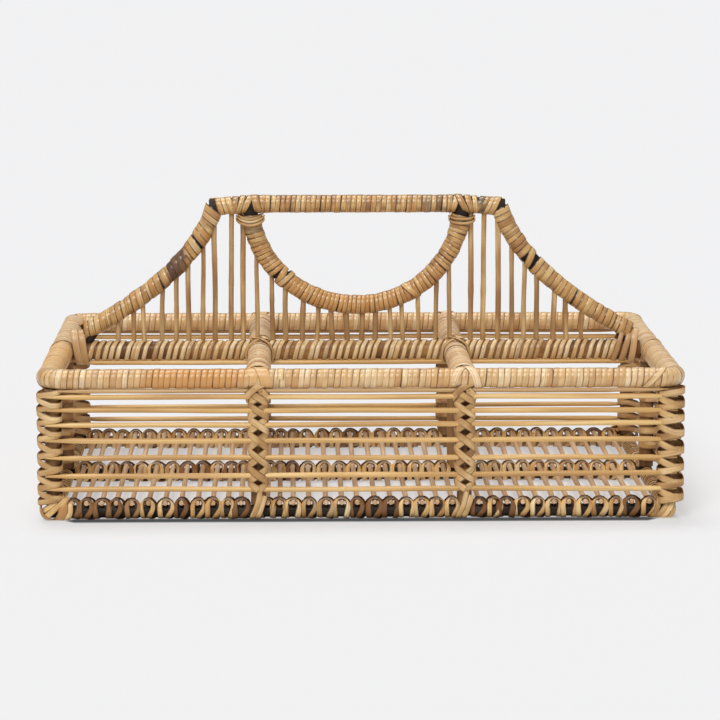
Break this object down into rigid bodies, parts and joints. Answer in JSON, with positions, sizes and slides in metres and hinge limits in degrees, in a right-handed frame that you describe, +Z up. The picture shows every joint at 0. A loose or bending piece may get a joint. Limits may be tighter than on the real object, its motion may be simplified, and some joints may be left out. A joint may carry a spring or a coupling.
{
  "type": "glassware caddy",
  "caption": "Open rattan carrying tray for glasses, with slatted walls and floor, divided compartments and a bow handle with a rounded hand hold over its centre rail.",
  "frame": {"origin": "on the surface that the caddy stands on, under the middle of its outline", "axes": "+X along the long side and the handle, to the right seen from the front; +Y to the back; +Z up"},
  "size_m": [0.43, 0.292, 0.203],
  "materials": {
    "pole": "dark brown stained rattan pole, satin",
    "cane_wrap": "pale golden peeled cane, close wrapped, semi-gloss",
    "cane_lashing": "tan peeled cane strip, lashed, semi-gloss",
    "reed": "golden round rattan reed, satin"
  },
  "bodies": {
    "root": {"rim_front": "pole", "rim_back": "pole", "rim_left": "pole", "rim_right": "pole", "centre_rail": "pole", "divider_left_front": "pole", "divider_left_back": "pole", "divider_right_front": "pole", "divider_right_back": "pole", "base_front": "pole", "base_back": "pole", "base_left": "pole", "base_right": "pole", "base_centre": "pole", "post_front_left_corner": "pole", "post_front_left_middle": "pole", "post_front_right_corner": "pole", "post_front_right_middle": "pole", "post_back_left_corner": "pole", "post_back_left_middle": "pole", "post_back_right_corner": "pole", "post_back_right_middle": "pole", "post_left": "pole", "post_right": "pole", "post_centre_left": "pole", "post_centre_right": "pole", "handle_bow": "pole", "hand_hold": "pole", "rim_front_wrap": "cane_wrap", "rim_back_wrap": "cane_wrap", "rim_left_wrap": "cane_wrap", "rim_right_wrap": "cane_wrap", "divider_left_front_wrap": "cane_wrap", "divider_left_back_wrap": "cane_wrap", "divider_right_front_wrap": "cane_wrap", "divider_right_back_wrap": "cane_wrap", "handle_wrap_left": "cane_wrap", "handle_wrap_right": "cane_wrap", "handle_grip": "cane_wrap", "hand_hold_wrap": "cane_wrap", "base_lashing_front_left": "cane_lashing", "base_lashing_front_middle": "cane_lashing", "base_lashing_front_right": "cane_lashing", "base_lashing_back_left": "cane_lashing", "base_lashing_back_middle": "cane_lashing", "base_lashing_back_right": "cane_lashing", "base_lashing_left_front": "cane_lashing", "base_lashing_left_back": "cane_lashing", "base_lashing_right_front": "cane_lashing", "base_lashing_right_back": "cane_lashing", "floor_left": "reed", "floor_middle": "reed", "floor_right": "reed", "spindles_left": "reed", "spindles_middle": "reed", "spindles_right": "reed", "wall_front": "reed", "wall_back": "reed", "wall_left": "reed", "wall_right": "reed"}
  },
  "joints": []
}
